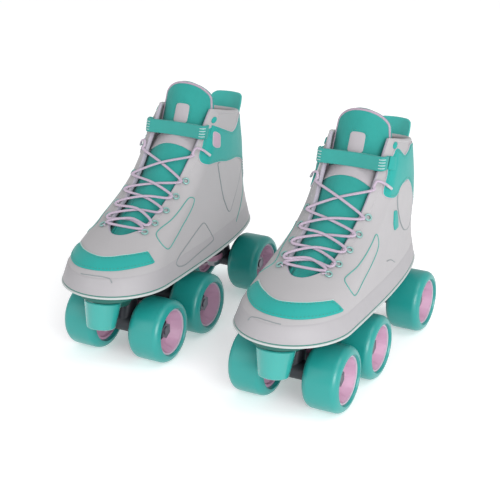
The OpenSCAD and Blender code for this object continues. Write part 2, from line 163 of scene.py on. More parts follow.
def curve(table, x):
    """A smooth curve through a table's points, with no overshoot."""
    knots, values = np.array(table, float).T
    steps = np.diff(knots)
    rises = np.diff(values) / steps
    product = rises[:-1] * rises[1:]
    total = rises[:-1] + rises[1:]
    inner = np.where(product > 0, 2 * product / np.where(product > 0, total, 1), 0)
    slopes = np.concatenate([rises[:1], inner, rises[-1:]])
    i = np.clip(np.searchsorted(knots, x) - 1, 0, len(steps) - 1)
    h = steps[i]
    u = np.clip((x - knots[i]) / h, 0, 1)
    return ((1 + 2 * u) * (1 - u) ** 2 * values[i] + u * (1 - u) ** 2 * h * slopes[i]
            + u * u * (3 - 2 * u) * values[i + 1] - u * u * (1 - u) * h * slopes[i + 1])


def full_turn(count):
    return np.linspace(0, 2 * np.pi, count, endpoint=False)


def unit(v):
    return v / np.linalg.norm(v, axis=-1, keepdims=True)


def front_point(z, across):
    z, across = np.broadcast_arrays(z, across)
    n, w, front = curve(FRONT_POWER, z), curve(HALF_WIDTH, z), curve(FRONT_Y, z)
    t = curve(WIDEST, z) * (1 - np.maximum(1 - (np.abs(across) / w) ** n, 0) ** (1 / n))
    return np.stack([curve(MIDDLE_X, z) + across, front + (curve(HEEL_Y, z) - front) * t, z], -1)


def side_point(z, side, v):
    n, m, w = curve(FRONT_POWER, z), curve(HEEL_POWER, z), curve(HALF_WIDTH, z)
    k, front = curve(WIDEST, z), curve(FRONT_Y, z)
    edge = k * (1 - (1 - (curve(THROAT, z) / w) ** n) ** (1 / n))
    t = edge + (1 - edge) * (1 - np.cos(np.pi * v)) / 2
    u = np.where(t < k, 1 - t / k, (t - k) / (1 - k))
    p = np.where(t < k, n, m)
    x = curve(MIDDLE_X, z) + side * w * np.maximum(1 - u ** p, 0) ** (1 / p)
    return np.stack([x, front + (curve(HEEL_Y, z) - front) * t, z], -1)


def wrapped(c):
    """Columns counted on past the heel, brought back to between -18 and 18."""
    return (c + HALF_TURN) % (2 * HALF_TURN) - HALF_TURN


def skin(c, z):
    """The boot's outside at column c (0 at the toe, 18 at the heel, + on the outer side) and height z."""
    c, z = np.broadcast_arrays(c, z)
    c = wrapped(c)
    q, side = np.abs(c), np.where(c < 0, -1, 1)
    front = front_point(z, side * curve(THROAT, z) * np.minimum(q, FRONT_CELLS) / FRONT_CELLS)
    flank = side_point(z, side, np.clip((q - FRONT_CELLS) / SIDE_CELLS, 0, 1))
    return np.where((q < FRONT_CELLS)[..., None], front, flank)


def skin_normal(c, z):
    along = skin(c + 0.4, z) - skin(c - 0.4, z)
    return unit(np.cross(along, skin(c, z + 0.5) - skin(c, z - 0.5)))


def dipped(c, z):
    """A row's height at a column: above DIP_FROM the rows slope down towards the heel."""
    v = np.clip((np.abs(c) - FRONT_CELLS) / SIDE_CELLS, 0, 1)
    low = DIP_FROM + (z - DIP_FROM) * (1 - HEEL_DIP * (1 - np.cos(np.pi * v)) / 2)
    return np.where(z <= DIP_FROM, z, low)


def sole_lift(z):
    """How far the sole's side wall stands proud of the upper."""
    return WALL_PROUD * np.clip((WALL_TOP + 0.6 - z) / 1.2, 0, 1)


def boot(q, height):
    """Points (column, height above the floor) on the finished boot, raised by a height."""
    c, z = q[..., 0], q[..., 1]
    return skin(c, z) + (height + sole_lift(z)[..., None]) * skin_normal(c, z)


def front_surface(q, height):
    """Points (distance across, height above the floor) on the boot's front."""
    across, z = q[..., 0], q[..., 1]
    along = front_point(z, across + 0.5) - front_point(z, across - 0.5)
    normal = unit(np.cross(along, front_point(z + 0.5, across) - front_point(z - 0.5, across)))
    return front_point(z, across) + height * normal


# ---------- Building meshes ----------
SUNK = -0.4
BEAD_STEP = 1.6
STITCH_PITCH = 3.2
THREAD_ALONG = [0, 0.35, 1.0, 1.65, 2.0]
THREAD_RISE = [-0.1, 0.1, 0.15, 0.1, -0.1]
THREAD_SIZE = np.array([0.3, 0.9, 1, 0.9, 0.3])


def join(*shapes):
    """Several shapes as one."""
    points, faces, start = [], [], 0
    for shape_points, shape_faces in shapes:
        points.append(shape_points)
        faces += [[start + i for i in face] for face in shape_faces]
        start += len(shape_points)
    return np.vstack(points), faces


def ring_faces(rings, size, closed=False):
    """Faces that join rings of points, each ring closed on itself, and caps on the two end rings."""
    faces = []
    for r in range(rings if closed else rings - 1):
        a, b = r * size, (r + 1) % rings * size
        faces += [[a + i, a + (i + 1) % size, b + (i + 1) % size, b + i] for i in range(size)]
    if not closed:
        faces += [list(range(size))[::-1], [(rings - 1) * size + i for i in range(size)]]
    return faces


def wall(outside, inside, mask):
    """A closed wall between two grids of points that run right round, where the mask is set."""
    rows, columns = outside.shape[:2]
    faces = []

    def at(layer, r, c):
        return layer * rows * columns + r * columns + c % columns

    def there(r, c):
        return 0 <= r < rows - 1 and mask[r][c % columns]

    for r, c in np.argwhere(mask):
        corners = [(r, c), (r + 1, c), (r + 1, c + 1), (r, c + 1)]
        faces.append([at(0, *p) for p in corners])
        faces.append([at(1, *p) for p in corners[::-1]])
        sides = {(r - 1, c): (3, 0), (r + 1, c): (1, 2), (r, c - 1): (0, 1), (r, c + 1): (2, 3)}
        for neighbour, ends in sides.items():
            if not there(*neighbour):
                p, q = corners[ends[0]], corners[ends[1]]
                faces.append([at(0, *q), at(0, *p), at(1, *p), at(1, *q)])
    points = np.vstack([outside.reshape(-1, 3), inside.reshape(-1, 3)])
    used, numbers = np.unique(faces, return_inverse=True)
    return points[used], numbers.reshape(-1, 4).tolist()


def lathe(profile, place, axis, closed=True, sides=96):
    """A profile of (radius, distance along the axis) turned about an axis through a place."""
    u = unit(np.cross(axis, [0.3, 0.5, 0.8]))
    v = np.cross(axis, u)
    turns = full_turn(sides)
    spokes = np.cos(turns)[:, None] * u + np.sin(turns)[:, None] * v
    rings = [place + h * axis + r * spokes for r, h in profile]
    return np.vstack(rings), ring_faces(len(rings), sides, closed)


def sweep(path, up, section, closed=False, scale=1):
    """A section of (across, up) points carried along a path."""
    if closed:
        tangent = unit(np.roll(path, -1, 0) - np.roll(path, 1, 0))
    else:
        padded = np.vstack([2 * path[0] - path[1], path, 2 * path[-1] - path[-2]])
        tangent = unit(padded[2:] - padded[:-2])
    across = unit(np.cross(tangent, up))
    out = np.cross(across, tangent)
    size = np.broadcast_to(scale, len(path))[:, None, None]
    rings = path[:, None] + size * (section[:, :1] * across[:, None] + section[:, 1:] * out[:, None])
    return rings.reshape(-1, 3), ring_faces(len(path), len(section), closed)


def ellipse(width, height, count=10):
    turns = full_turn(count)
    return np.stack([width / 2 * np.cos(turns), height / 2 * np.sin(turns)], -1)


def dome(width, height):
    """Half an ellipse on a base that sits a little below the surface."""
    turns = np.linspace(0, np.pi, 6)
    top = np.stack([width / 2 * np.cos(turns), height * np.sin(turns)], -1)
    return np.vstack([top, [[-width / 2, SUNK], [width / 2, SUNK]]])


def smooth_path(points, steps):
    """A Catmull-Rom curve through points."""
    p = np.array(points, float)
    last = len(p) - 1
    result = []
    for i in range(last):
        a, b, c, d = p[max(i - 1, 0)], p[i], p[i + 1], p[min(i + 2, last)]
        for t in np.arange(steps) / steps:
            result.append(0.5 * (2 * b + (c - a) * t + (2 * a - 5 * b + 4 * c - d) * t ** 2
                                 + (3 * b - a - 3 * c + d) * t ** 3))
    return np.array([*result, p[-1]])


def rounded(points, radius, scale=BOOT_SCALE, closed=True):
    """A line whose corners are bends that start the radius away from each corner."""
    p = np.array(points, float)
    n = len(p)
    result = []
    for i in range(n):
        if not closed and i in (0, n - 1):
            result.append(p[i])
            continue
        ends = []
        for other in (p[i - 1], p[(i + 1) % n]):
            length = np.hypot(*((other - p[i]) * scale))
            ends.append(p[i] + (other - p[i]) * min(0.5, radius / length))
        for t in np.linspace(0, 1, 5):
            result.append((1 - t) ** 2 * ends[0] + 2 * t * (1 - t) * p[i] + t ** 2 * ends[1])
    return np.array(result)


def distances(points):
    """How far along the line through them each point lies."""
    return np.concatenate([[0], np.cumsum(np.linalg.norm(np.diff(points, axis=0), axis=-1))])


def points_at(wanted, places, line):
    """Points of a flat line at the wanted places along it."""
    return np.stack([np.interp(wanted, places, line[:, k]) for k in (0, 1)], -1)


def resampled(line, surface, step, closed=True):
    """The same line with its points evenly spaced along the surface."""
    ends = np.vstack([line, line[:1]]) if closed else np.array(line)
    last = len(ends) - 1
    dense = points_at(np.linspace(0, last, 8 * last + 1), np.arange(last + 1), ends)
    run = distances(surface(dense, 0))
    count = max(8, round(run[-1] / step))
    return points_at(np.linspace(0, run[-1], count, endpoint=not closed), run, dense)


def surface_frame(q, surface):
    """The surface's two slopes and its unit normal."""
    h = 0.01
    along_u = (surface(q + [h, 0], 0) - surface(q - [h, 0], 0)) / (2 * h)
    along_v = (surface(q + [0, h], 0) - surface(q - [0, h], 0)) / (2 * h)
    return along_u, along_v, unit(np.cross(along_u, along_v))


def inset(loop, surface, distance):
    """A closed loop moved in over the surface by a distance."""
    along_u, along_v, normal = surface_frame(loop, surface)
    points = surface(loop, 0)
    inward = np.cross(normal, unit(np.roll(points, -1, 0) - np.roll(points, 1, 0)))
    pairs = ((along_u, along_u), (along_u, along_v), (along_v, along_v))
    uu, uv, vv = ((a * b).sum(-1) for a, b in pairs)
    u, v = (inward * along_u).sum(-1), (inward * along_v).sum(-1)
    move = np.stack([vv * u - uv * v, uu * v - uv * u], -1) / (uu * vv - uv * uv)[:, None]
    return loop + distance * move


def counterclockwise(loop, scale):
    """The loop, turned round if it runs clockwise."""
    flat = loop * scale
    doubled_area = (flat[:, 0] * np.roll(flat[:, 1], -1) - np.roll(flat[:, 0], -1) * flat[:, 1]).sum()
    return loop if doubled_area > 0 else loop[::-1]


def inside_loop(points, loop):
    """Which points have an odd number of the loop's edges beside them."""
    x, y = points[:, :1], points[:, 1:]
    a, b = loop, np.roll(loop, -1, 0)
    crosses = (a[:, 1] > y) != (b[:, 1] > y)
    rise = np.where(b[:, 1] == a[:, 1], 1, b[:, 1] - a[:, 1])
    return (crosses & (x < a[:, 0] + (y - a[:, 1]) * (b[:, 0] - a[:, 0]) / rise)).sum(1) % 2 == 1


def filled(loop, scale, spacing):
    """Points inside a loop, each one's distance from it, and triangles over the loop and them."""
    flat = loop * scale
    low, high = flat.min(0), flat.max(0)
    grid = np.meshgrid(*(np.arange(low[k] + spacing / 2, high[k], spacing) for k in (0, 1)))
    grid = np.stack(grid, -1).reshape(-1, 2)
    gaps = np.linalg.norm(grid[:, None] - flat, axis=-1).min(1)
    keep = inside_loop(grid, flat) & (gaps > 0.6 * spacing)
    grid, gaps = grid[keep], gaps[keep]
    points = np.vstack([flat, grid])
    edges = [(i, (i + 1) % len(flat)) for i in range(len(flat))]
    _, _, faces, origins, _, _ = delaunay_2d_cdt([Vector(p) for p in points], edges, [], 1, 1e-6)
    first = [sources[0] if sources else None for sources in origins]
    triangles = [[first[i] for i in face] for face in faces]
    return grid / scale, gaps, [t for t in triangles if None not in t]


def slab(outline, surface, top, bottom, bevel, step=2.5, scale=BOOT_SCALE, spacing=4, crown=0, soft=5,
         two_sided=False):
    """A plate on a surface with a rounded edge, crowned by up to a height away from its edge."""
    loop = counterclockwise(resampled(outline, surface, step), scale)
    bends = np.radians([0, 30, 60, 90])
    upper = [(bevel * (1 - math.cos(a)), top - bevel * (1 - math.sin(a))) for a in bends]
    lower = [(bevel * (1 - math.cos(a)), bottom + bevel * (1 - math.sin(a))) for a in bends[::-1]]
    rings = (lower if two_sided else [(0, bottom)]) + upper
    loops = [inset(loop, surface, distance) for distance, _ in rings]
    n = len(loop)
    layers = [surface(ring, height) for ring, (_, height) in zip(loops, rings)]
    faces = ring_faces(len(rings), n)[:-2]
    count = n * len(rings)
    caps = [(len(rings) - 1, top, crown, False), (0, bottom, -crown if two_sided else 0, True)]
    for ring_index, height, bulge, flip in caps:
        extra, gaps, triangles = filled(loops[ring_index], scale, spacing)
        heights = height + bulge * (1 - np.exp(-gaps / soft))
        layers.append(surface(extra, heights[:, None]))
        for triangle in triangles:
            face = [ring_index * n + i if i < n else count + i - n for i in triangle]
            faces.append(face[::-1] if flip else face)
        count += len(extra)
    return np.vstack(layers), faces


def bead(line, width, height, lift=0, closed=True):
    """A raised line on the boot."""
    line = resampled(line, boot, BEAD_STEP, closed)
    normal = surface_frame(line, boot)[2]
    return sweep(boot(line, lift), normal, dome(width, height), closed)


def stitches(line, surface=boot, lift=0, closed=False):
    """A row of short threads along a line."""
    line = resampled(line, surface, STITCH_PITCH, closed)
    normal = surface_frame(line, surface)[2]
    points = surface(line, lift)
    ahead = unit(np.roll(points, -1, 0) - points)
    if not closed:
        ahead[-1] = ahead[-2]
    threads = []
    for p, a, n in zip(points, ahead, normal):
        path = p + np.outer(THREAD_ALONG, a) + np.outer(THREAD_RISE, n)
        threads.append(sweep(path, n, ellipse(0.6, 0.5, 5), scale=THREAD_SIZE))
    return join(*threads)


def make(name, shape, paint, replaces=(), body="boot", sharp=35):
    """Builds one piece on each skate, mirrored on the right one."""
    points, faces = shape
    made = []
    for side, sign in MIRROR.items():
        mesh = bpy.data.meshes.new(f"{side}_{name}")
        places = np.array(ORIGIN[side]) + points * MM * [sign, 1, 1]
        mesh.from_pydata(places.tolist(), [], faces)
        work = bmesh.new()
        work.from_mesh(mesh)
        bmesh.ops.recalc_face_normals(work, faces=work.faces)
        work.to_mesh(mesh)
        work.free()
        mesh.shade_smooth()
        mesh.set_sharp_from_angle(angle=math.radians(sharp))
        mesh.materials.append(PAINTS[paint])
        piece = linked(f"{side}_{name}", mesh)
        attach(piece, f"{side}_{body}")
        for node in replaces:
            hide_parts(f"{side}_{node}")
        made.append(piece)
    return made


# ---------- Materials ----------
PAINTS = {}
STUDIO_DIM = 0.72


class Finish:
    """A Principled material with a patterned colour, roughness and bump."""

    def __init__(self, name, **sockets):
        self.material = bpy.data.materials.new(name)
        self.material.use_nodes = True
        self.tree = self.material.node_tree
        self.shader = self.tree.nodes["Principled BSDF"]
        for socket, value in sockets.items():
            self.shader.inputs[socket.replace("_", " ")].default_value = value
        self.place = self.node("ShaderNodeTexCoord").outputs["Object"]
        PAINTS[name] = self.material

    def feed(self, socket, value):
        """Gives an input a fixed value or another node's output."""
        if hasattr(value, "is_output"):
            self.tree.links.new(value, socket)
        else:
            socket.default_value = value

    def node(self, kind, **inputs):
        made = self.tree.nodes.new(kind)
        for name, value in inputs.items():
            self.feed(made.inputs[name.replace("_", " ")], value)
        return made

    def noise(self, scale, detail=3, vector=None):
        made = self.node("ShaderNodeTexNoise", Vector=vector or self.place, Scale=scale, Detail=detail)
        return made.outputs["Fac"]

    def cells(self, scale):
        return self.node("ShaderNodeTexVoronoi", Vector=self.place, Scale=scale).outputs["Distance"]

    def bands(self, scale, direction, distortion=0):
        made = self.node("ShaderNodeTexWave", Vector=self.place, Scale=scale, Distortion=distortion)
        made.bands_direction = direction
        return made.outputs["Fac"]

    def combined(self, a, b, kind):
        made = self.node("ShaderNodeMath")
        made.operation = kind
        self.feed(made.inputs[0], a)
        self.feed(made.inputs[1], b)
        return made.outputs[0]

    def colour(self, dark, light, fac):
        made = self.node("ShaderNodeMix")
        made.data_type = "RGBA"
        first, second = [socket for socket in made.inputs if socket.type == "RGBA"]
        first.default_value = (*dark, 1)
        second.default_value = (*light, 1)
        self.tree.links.new(fac, made.inputs[0])
        result = [socket for socket in made.outputs if socket.type == "RGBA"][0]
        self.tree.links.new(result, self.shader.inputs["Base Color"])

    def roughness(self, low, high, fac):
        made = self.node("ShaderNodeMapRange", Value=fac, To_Min=low, To_Max=high)
        self.tree.links.new(made.outputs["Result"], self.shader.inputs["Roughness"])

    def bump(self, height, strength, distance):
        made = self.node("ShaderNodeBump", Height=height, Strength=strength, Distance=distance)
        self.tree.links.new(made.outputs["Normal"], self.shader.inputs["Normal"])


def shades(colour, change):
    """The darker and the lighter shade of a paint, both dimmed for the bright studio."""
    return [tuple(min(STUDIO_DIM * v * k, 1) for v in colour) for k in (1 - change, 1 + change)]


def leather(name, colour, change=0.05, low=0.42, high=0.56, grain=0.25, gloss=0.35):
    """Smooth synthetic leather: fine pebbled grain, faint uneven tone and gloss."""
    paint = Finish(name, Specular_IOR_Level=gloss, Sheen_Weight=0.05)
    pebbles = paint.cells(900)
    paint.colour(*shades(colour, change), paint.noise(14, 4))
    paint.roughness(low, high, paint.noise(120))
    paint.bump(paint.combined(pebbles, paint.noise(1500), "ADD"), grain, 0.00025)


def woven(name, colour, scale=420):
    """Closely woven cloth: over and under threads, with a soft sheen."""
    paint = Finish(name, Specular_IOR_Level=0.25, Sheen_Weight=0.15, Sheen_Roughness=0.4)
    warp = paint.bands(scale, "X")
    weft = paint.bands(scale, "Z")
    threads = paint.combined(warp, weft, "MAXIMUM")
    paint.colour(*shades(colour, 0.14), paint.combined(threads, paint.noise(60), "MULTIPLY"))
    paint.roughness(0.62, 0.82, paint.noise(200))
    paint.bump(threads, 0.35, 0.00035)


def webbing(name, colour, direction, change=0.09):
    """Dense band with fine ribs."""
    paint = Finish(name, Specular_IOR_Level=0.35, Sheen_Weight=0.2)
    ribs = paint.bands(300, direction, distortion=0.4)
    paint.colour(*shades(colour, change), paint.combined(ribs, paint.noise(90), "MULTIPLY"))
    paint.roughness(0.45, 0.62, paint.noise(150))
    paint.bump(ribs, 0.25, 0.0003)


def moulded(name, colour, change, tone, gloss, wear, grain, strength, distance=0.0002, **sockets):
    """A cast or moulded skin: its tone, its roughness and its bump each follow a noise of their own."""
    paint = Finish(name, **sockets)
    paint.colour(*shades(colour, change), paint.noise(*tone))
    paint.roughness(*gloss, paint.noise(wear))
    paint.bump(paint.noise(*grain), strength, distance)


def rubber(name, colour):
    """Moulded rubber: faint speckle and scuffs."""
    moulded(name, colour, 0.05, (45, 6), (0.45, 0.62), 160, (900, 2), 0.18, Specular_IOR_Level=0.4)


def urethane(name, colour, coat, gloss=(0.26, 0.4)):
    """Cast urethane: smooth, with a glossy skin and faint wear."""
    moulded(name, colour, 0.06, (22, 5), gloss, 140, (500, 3), 0.07, Specular_IOR_Level=0.45,
            Coat_Weight=coat, Coat_Roughness=0.22)


def nylon(name, colour):
    """Moulded nylon: fine spark texture."""
    moulded(name, colour, 0.08, (80, 4), (0.38, 0.55), 300, (1600, 2), 0.2, Specular_IOR_Level=0.4)


def painted_metal(name, colour, metallic, high=0.5):
    """Painted casting: a slight orange peel."""
    moulded(name, colour, 0.12, (60, 5), (0.3, high), 220, (420, 2), 0.15, 0.0003, Metallic=metallic,
            Specular_IOR_Level=0.5)


def steel(name, colour):
    """Turned and plated steel."""
    paint = Finish(name, Metallic=1.0)
    stretched = paint.node("ShaderNodeMapping", Vector=paint.place, Scale=(4, 0.3, 0.3))
    lines = paint.noise(700, 2, stretched.outputs["Vector"])
    paint.colour(*shades(colour, 0.12), lines)
    paint.roughness(0.22, 0.42, lines)
    paint.bump(lines, 0.1, 0.0002)


TEAL = (0.030, 0.38, 0.34)
PALE = (0.51, 0.495, 0.51)


def make_paints():
    leather("upper_leather", PALE)
    leather("pale_binding", (0.62, 0.58, 0.63), grain=0.15)
    # A darker copy of the pale binding: the binding's own lilac tint with painted shade for the throat's
    # edge
    leather("lilac_binding_painted_shade", (0.50, 0.46, 0.54), grain=0.15)
    webbing("pale_thread", (0.55, 0.72, 0.72), "X")
    leather("patch_leather", (0.027, 0.42, 0.38), change=0.06, grain=0.15, gloss=0.2)
    leather("window_leather", (0.56, 0.42, 0.52), change=0.04)
    leather("keeper_leather", (0.50, 0.47, 0.50), low=0.35, high=0.48)
    woven("tongue_cloth", TEAL)
    webbing("strap_webbing", TEAL, "Z")
    # A lighter copy of the teal webbing: painted light on the heel tab, which the lamps leave in shade
    webbing("tab_webbing_painted_light", (0.05, 0.50, 0.45), "Z")
    webbing("piping_cord", (0.52, 0.40, 0.50), "X")
    leather("outline_teal", (0.11, 0.42, 0.37), change=0.06, grain=0.1)
    leather("outline_grey", (0.30, 0.34, 0.35), grain=0.1)
    leather("mint_edge", (0.55, 0.70, 0.68), change=0.04, grain=0.1)
    webbing("thread", (0.60, 0.58, 0.61), "X")
    webbing("teal_thread", (0.035, 0.33, 0.28), "X")
    webbing("lace_braid", (0.62, 0.50, 0.63), "Y", change=0.12)
    rubber("sole_rubber", (0.475, 0.46, 0.48))
    rubber("rim_rubber", (0.60, 0.64, 0.64))
    rubber("line_rubber", (0.03, 0.28, 0.22))
    woven("footbed_cloth", (0.10, 0.11, 0.12), scale=300)
    nylon("plate_nylon", (0.015, 0.16, 0.13))
    painted_metal("truck_paint", (0.035, 0.04, 0.05), metallic=0.3)
    steel("axle_steel", (0.24, 0.24, 0.28))
    steel("bolt_steel", (0.45, 0.45, 0.48))
    painted_metal("ring_paint", (0.30, 0.55, 0.52), metallic=0.3, high=0.45)
    urethane("cushion_urethane", (0.60, 0.28, 0.42), coat=0.35)
    urethane("stop_urethane", (0.03, 0.42, 0.38), coat=0.6, gloss=(0.2, 0.3))
    urethane("wheel_urethane", (0.018, 0.37, 0.34), coat=0.15)
    nylon("hub_nylon", (0.64, 0.37, 0.53))
    nylon("hub_rim_nylon", (0.66, 0.55, 0.66))
    painted_metal("shield_steel", (0.07, 0.07, 0.085), metallic=0.7)


# ---------- The boot ----------
def throat_edge(c):
    """The height of the throat's lower edge at a column: a wide U with rounded corners."""
    return THROAT_Z + THROAT_CORNER * np.minimum(np.abs(c) / FRONT_CELLS, 1) ** 3


def make_upper():
    """The upper's wall, with a throat whose lower corners are rounded, and its lining side."""
    columns = np.concatenate([np.linspace(-FRONT_CELLS, FRONT_CELLS, 25)[:-1],
                              np.linspace(FRONT_CELLS, 2 * HALF_TURN - FRONT_CELLS, 121)[:-1]])
    c = wrapped(columns)
    low_rows = np.linspace(0, 1, 17)[:, None]
    low = UPPER_FOOT + low_rows * (throat_edge(c) - UPPER_FOOT)
    high = np.linspace(THROAT_Z + THROAT_CORNER, COLLAR_Z, 34)[1:, None]
    z = np.vstack([low, dipped(c, high)])
    c = np.broadcast_to(c, z.shape)
    outside = skin(c, z)
    inside = outside - UPPER_T * skin_normal(c, z)
    mask = [[r < len(low_rows) - 1 or columns[k] >= FRONT_CELLS for k in range(len(columns))]
            for r in range(len(z) - 1)]
    make("upper", wall(outside, inside, mask), "upper_leather", ["upper"])


def edge_roll(line, width, height, depth):
    """A padded roll along an edge of the upper."""
    c, z = resampled(line, boot, 2.5, closed=False).T
    normal = skin_normal(c, z)
    path = skin(c, z) - depth * normal
    fade = np.sin(np.linspace(0, np.pi, len(path)))
    return sweep(path, normal, ellipse(width, height, 14), scale=0.55 + 0.45 * np.minimum(6 * fade, 1))


def make_edges():
    """The padded rolls round the throat and the collar."""
    top = dipped(FRONT_CELLS, COLLAR_Z)
    bottom = [(c, throat_edge(c)) for c in np.linspace(-FRONT_CELLS, FRONT_CELLS, 13)]
    rise = np.linspace(120.5, top - 0.5, 14)
    throat = [(-FRONT_CELLS, z) for z in rise[::-1]] + bottom + [(FRONT_CELLS, z) for z in rise]
    around = np.linspace(FRONT_CELLS, 2 * HALF_TURN - FRONT_CELLS, 61)
    collar = np.stack([around, dipped(wrapped(around), COLLAR_Z - 0.6)], -1)
    # The throat roll wears the darker copy of the binding, which holds painted shade
    make("throat_roll", edge_roll(throat, 2.6, 4.3, 2.1), "lilac_binding_painted_shade")
    make("collar_roll", edge_roll(collar, 4.4, 5.2, 1.9), "upper_leather")


def zipped(ring_start, size):
    """Faces that close a ring whose points run the same way on both sides of its first point."""
    rows = [dict.fromkeys((k, k + 1, size - k - 1, (size - k) % size)) for k in range(size // 2)]
    return [[ring_start + i for i in row] for row in rows if len(row) > 2]


ROUND_POINTS = 144
ROUND = np.arange(ROUND_POINTS) * 2 * HALF_TURN / ROUND_POINTS
SOLE_INSIDE = -4


def level_ring(z, out):
    """A level ring round the boot's outside at a height, moved out by a distance."""
    outward = unit(skin_normal(ROUND, z) * [1, 1, 0])
    return skin(ROUND, z) * [1, 1, 0] + out * outward + [0, 0, z]


def ringed(rings):
    """A solid of rings round the sole, each at a height and a distance out, closed below and above."""
    faces = ring_faces(len(rings), ROUND_POINTS)[:-2]
    faces += zipped(0, ROUND_POINTS) + zipped((len(rings) - 1) * ROUND_POINTS, ROUND_POINTS)
    return np.vstack([level_ring(*ring) for ring in rings]), faces


def band(z_from, z_to, out):
    """A thin strip round the sole."""
    rings = [(z_from, -1.5), (z_from, out - 0.3), (z_from + 0.2, out), (z_to - 0.2, out),
             (z_to, out - 0.3), (z_to, -1.5)]
    points = np.vstack([level_ring(*ring) for ring in rings])
    return points, ring_faces(len(rings), ROUND_POINTS, closed=True)


def make_sole():
    """The outsole: a pale rim, a dark line above it and a wall that runs on from the upper."""
    floor = SOLE_Z + SOLE_T
    rings = [(SOLE_Z, -2.5), (SOLE_Z + 0.3, -1.2), (SOLE_Z + 1.7, -0.6), (SOLE_Z + 2.6, -0.6),
             (SOLE_Z + 2.8, 0.2), (SOLE_Z + 3.3, 0.3), (WALL_TOP - 1.2, 0.2), (WALL_TOP - 0.3, 0.12),
             (WALL_TOP + 0.2, -0.1), (WALL_TOP + 0.2, SOLE_INSIDE), (floor, SOLE_INSIDE),
             (floor, SOLE_INSIDE - 4)]
    make("outsole", ringed(rings), "sole_rubber", ["outsole"])
    make("sole_rim", band(SOLE_Z, SOLE_Z + 1.8, 0.7), "rim_rubber")
    make("sole_line", band(SOLE_Z + 1.8, SOLE_Z + 2.7, 0.05), "line_rubber")


def make_footbed():
    """The insole, with its rim turned up a little."""
    low, high = (local(corner)[2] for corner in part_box("left_footbed"))
    edge = -11.3
    rings = [(low, edge), (low + 3, edge), (high + 0.8, edge - 1.4), (high + 0.6, edge - 3.5),
             (high - 0.2, edge - 10)]
    for piece in make("footbed", ringed(rings), "footbed_cloth", ["footbed"]):
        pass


# Outlines on the boot, as (column, height)
TOE_BAND = [
    (5.8, 103.5), (5, 103.8), (3.8, 104), (1.4, 104.1), (-0.8, 104), (-2.6, 104.6), (-4.5, 105.4),
    (-5.7, 106), (-6.1, 102), (-6.5, 97.5), (-5.6, 97.2), (-4.2, 96.3), (-2, 96.2), (0.4, 96.1),
    (2.8, 95.4), (4.5, 95), (5.4, 94.9), (6.8, 94.6), (6.3, 99.7),
]
BAND_TOP = 8
OUTER_FIN = [
    (6.6, 135.5), (7.6, 129.5), (8.3, 124), (8.6, 117), (8.45, 110.7), (8.1, 105), (7.7, 98.2),
    (6.6, 107.5), (5.8, 113.4), (6.1, 115.7), (6.4, 118), (6.6, 123), (6.7, 129),
]
INNER_FIN = [
    (-6.3, 135), (-7.1, 132.3), (-7.5, 127.5), (-7.6, 122.5), (-7.6, 115.2), (-7.55, 108), (-7.3, 102),
    (-6.4, 108.4), (-5.7, 113.3), (-5.4, 115.7), (-5.35, 118.2), (-5.8, 121.4), (-6, 127), (-6.1, 132.5),
]
INNER_QUARTER = [
    (-10, 107.8), (-10.5, 99.6), (-10.95, 88.7), (-10.8, 86.9), (-9.8, 85.3), (-8.6, 82.4), (-8.1, 87.3),
    (-8.3, 92.8), (-9.1, 100), (-9.6, 104.5),
]
INNER_HEEL = [
    (-8.8, 154), (-10.6, 129.8), (-12, 108.4), (-12.4, 99), (-12.9, 107.8), (-13.4, 118), (-14.2, 131.8),
    (-13.9, 139), (-12.2, 147.8), (-10.2, 152.2),
]
OUTER_OVAL = [
    (10.2, 161.7), (9.1, 162.2), (8.8, 155.3), (9.3, 146), (10.6, 131.4), (12.2, 115.5), (13.3, 110),
    (14.4, 123), (14, 143), (12.5, 155), (11.3, 160),
]
OUTER_BAR = [(8.9, 143), (9.5, 141.5), (10.3, 132), (10.9, 124), (10.4, 123.5), (9.7, 131)]
ANKLE = [
    (-4.7, 182), (-4.6, 186.1), (-5.1, 188.3), (-5.7, 189.6), (-6.3, 189.7), (-7, 188.2), (-8.6, 183.5),
    (-10.6, 176.5), (-11.4, 177.7), (-12, 181.6), (-12.8, 185.7), (-13.8, 186.5), (-15.5, 184.5),
    (-18, 182.8), (-20.5, 184.5), (-22.6, 187), (-24.8, 190.2), (-25.6, 187.3), (-26.8, 185.5),
    (-28.2, 193), (-28.9, 195.5), (-29.6, 195), (-29.8, 191.1), (-31, 188.2), (-30.9, 185), (-30.5, 179.7),
    (-30.4, 172.3), (-30.4, 166.5), (-30.3, 162.8), (-29.9, 160.4), (-28.9, 157.5), (-27.8, 155),
    (-27.2, 155.8), (-27.1, 159.6), (-26.6, 161.9), (-25.8, 162.6), (-25.2, 161.6), (-24.3, 154.8),
    (-23.3, 144.2), (-21.4, 125), (-20, 113), (-18, 109), (-16.2, 113), (-15.2, 121.6), (-14.8, 135),
    (-13.4, 142.7), (-12.2, 147.7), (-11.1, 149.2), (-10.2, 150.9), (-9.1, 154.3), (-8.2, 155.8),
    (-7.1, 156.8), (-6.1, 159.2), (-5.5, 162.3), (-5.1, 165.9), (-4.9, 169.9), (-5.1, 173), (-4.8, 177.9),
]
WINDOW = [(-6.1, 184.8), (-6.7, 184.2), (-7.7, 180.4), (-8.4, 168.5), (-7.5, 170.2), (-6.7, 173.2)]
BUMPER = [(-4.1, 88.8), (-3.9, 92), (-2.1, 93.1), (-0.3, 93.1), (1.8, 92.4)]
OUTER_ARC = [(10.5, 103.7), (11, 102), (11.5, 96.2)]
HEEL_STREAK = [(-14.8, 133), (-15.4, 114), (-13.9, 98), (-13, 88)]
DOTS = {"inner_dot": (-6, 194.9), "outer_dot": (6.5, 198)}
DOT_R = 3.2
SEAM_FROM_THROAT = 5.2


def circle(spot, radius):
    """A round outline on the boot."""
    slopes = surface_frame(np.array([spot], float), boot)[:2]
    size = [np.linalg.norm(slope) for slope in slopes]
    turns = full_turn(24)
    return np.array(spot) + radius * np.stack([np.cos(turns), np.sin(turns)], -1) / size


